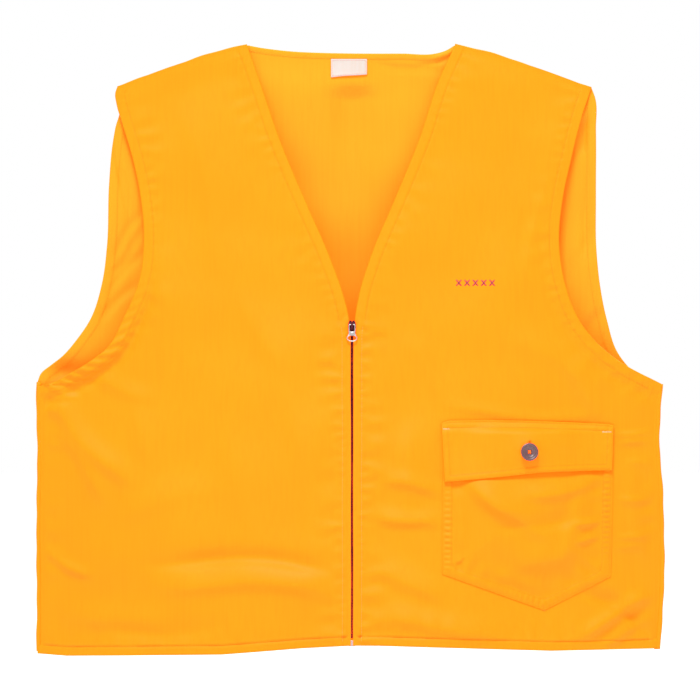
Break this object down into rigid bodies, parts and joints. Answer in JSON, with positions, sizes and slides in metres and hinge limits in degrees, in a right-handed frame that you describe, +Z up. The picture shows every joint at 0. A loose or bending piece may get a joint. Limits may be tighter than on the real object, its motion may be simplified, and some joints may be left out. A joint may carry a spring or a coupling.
{
  "type": "zip-front vest",
  "caption": "Sleeveless blaze orange field vest with a V neck, bound armholes, a full-length front zip and a buttoned patch pocket.",
  "frame": {"origin": "midway between the two high points of the shoulders, where the vest is carried, over the centre front line", "axes": "+X towards the wearer's left side, -Y out of the front, +Z up from the hem to the shoulders"},
  "size_m": [0.625, 0.0847, 0.606],
  "materials": {
    "orange_cloth": "plain woven cotton and polyester cloth, bright blaze orange",
    "orange_band": "the same cloth, turned double and topstitched",
    "brown_tape": "dark brown woven zip tape",
    "brown_teeth": "dark brown moulded teeth",
    "brown_enamel": "dark brown enamelled slider",
    "silver": "plain silver pull and end fittings",
    "button_plastic": "dark plum-brown turned button",
    "white_label": "plain white woven label",
    "dark_thread": "dark red thread",
    "orange_thread": "light orange thread"
  },
  "bodies": {
    "vest_body": {"back_panel": "orange_cloth", "back_neck_band": "orange_band", "back_hem": "orange_band", "chest_motif": "dark_thread", "pocket_panel": "orange_cloth", "pocket_mouth_hem": "orange_band", "button_thread": "orange_thread", "pocket_button": "button_plastic", "left_front_panel": "orange_cloth", "left_front_hem": "orange_band", "left_front_armhole_band": "orange_band", "left_back_armhole_band": "orange_band", "left_shoulder_seam": "orange_band", "left_side_seam": "orange_band", "right_front_panel": "orange_cloth", "right_front_hem": "orange_band", "right_front_armhole_band": "orange_band", "right_back_armhole_band": "orange_band", "right_shoulder_seam": "orange_band", "right_side_seam": "orange_band"},
    "left_front_edge": {"left_lapel": "orange_cloth", "left_lapel_hem": "orange_band", "left_neck_band": "orange_band", "left_zip_facing": "orange_band", "left_zip_tape": "brown_tape", "left_zip_teeth": "brown_teeth", "left_top_stop": "brown_enamel", "retainer_box": "silver"},
    "right_front_edge": {"right_lapel": "orange_cloth", "right_lapel_hem": "orange_band", "right_neck_band": "orange_band", "right_zip_facing": "orange_band", "right_zip_tape": "brown_tape", "right_zip_teeth": "brown_teeth", "right_top_stop": "brown_enamel", "insertion_pin": "silver"},
    "slider": {"zip_slider": "brown_enamel", "slider_crown": "brown_enamel"},
    "pull": {"zip_pull": "silver"},
    "flap": {"pocket_flap": "orange_cloth", "flap_lining": "orange_cloth", "buttonhole_patch": "orange_cloth"},
    "label": {"neck_label": "white_label"}
  },
  "joints": [
    {"name": "left_front_fold", "type": "hinge", "parent": "vest_body", "child": "left_front_edge", "pos_m": [0.042, -0.08263, -0.606], "axis": [0.1244, 0.1293, 0.9838], "range_deg": [0, 100.5]},
    {"name": "right_front_fold", "type": "hinge", "parent": "vest_body", "child": "right_front_edge", "pos_m": [-0.042, -0.08263, -0.606], "axis": [0.1244, -0.1293, -0.9838], "range_deg": [0, 100.5]},
    {"name": "zip_slide", "type": "slide", "parent": "left_front_edge", "child": "slider", "axis": [0, -0.1309, -0.9914], "range_m": [0, 0.3], "deforming": ["left_zip_teeth", "right_zip_teeth"]},
    {"name": "pull_swing", "type": "hinge", "parent": "slider", "child": "pull", "pos_m": [0, -0.04175, -0.27965], "axis": [-1, 0, 0], "range_deg": [0, 170]},
    {"name": "flap_open", "type": "hinge", "parent": "vest_body", "child": "flap", "pos_m": [0.261, -0.02235, -0.376], "axis": [-0.9824, -0.1867, 0], "range_deg": [0, 120], "deforming": ["buttonhole_patch"]},
    {"name": "label_flip", "type": "hinge", "parent": "vest_body", "child": "label", "pos_m": [-0.003, -0.0009, -0.014], "axis": [-1, 0, 0], "range_deg": [0, 150]}
  ],
  "couplings": [
    {"joint": "left_front_fold", "follows": "zip_slide", "rad_per_m": 5.8177},
    {"joint": "right_front_fold", "follows": "zip_slide", "rad_per_m": 5.8177}
  ]
}
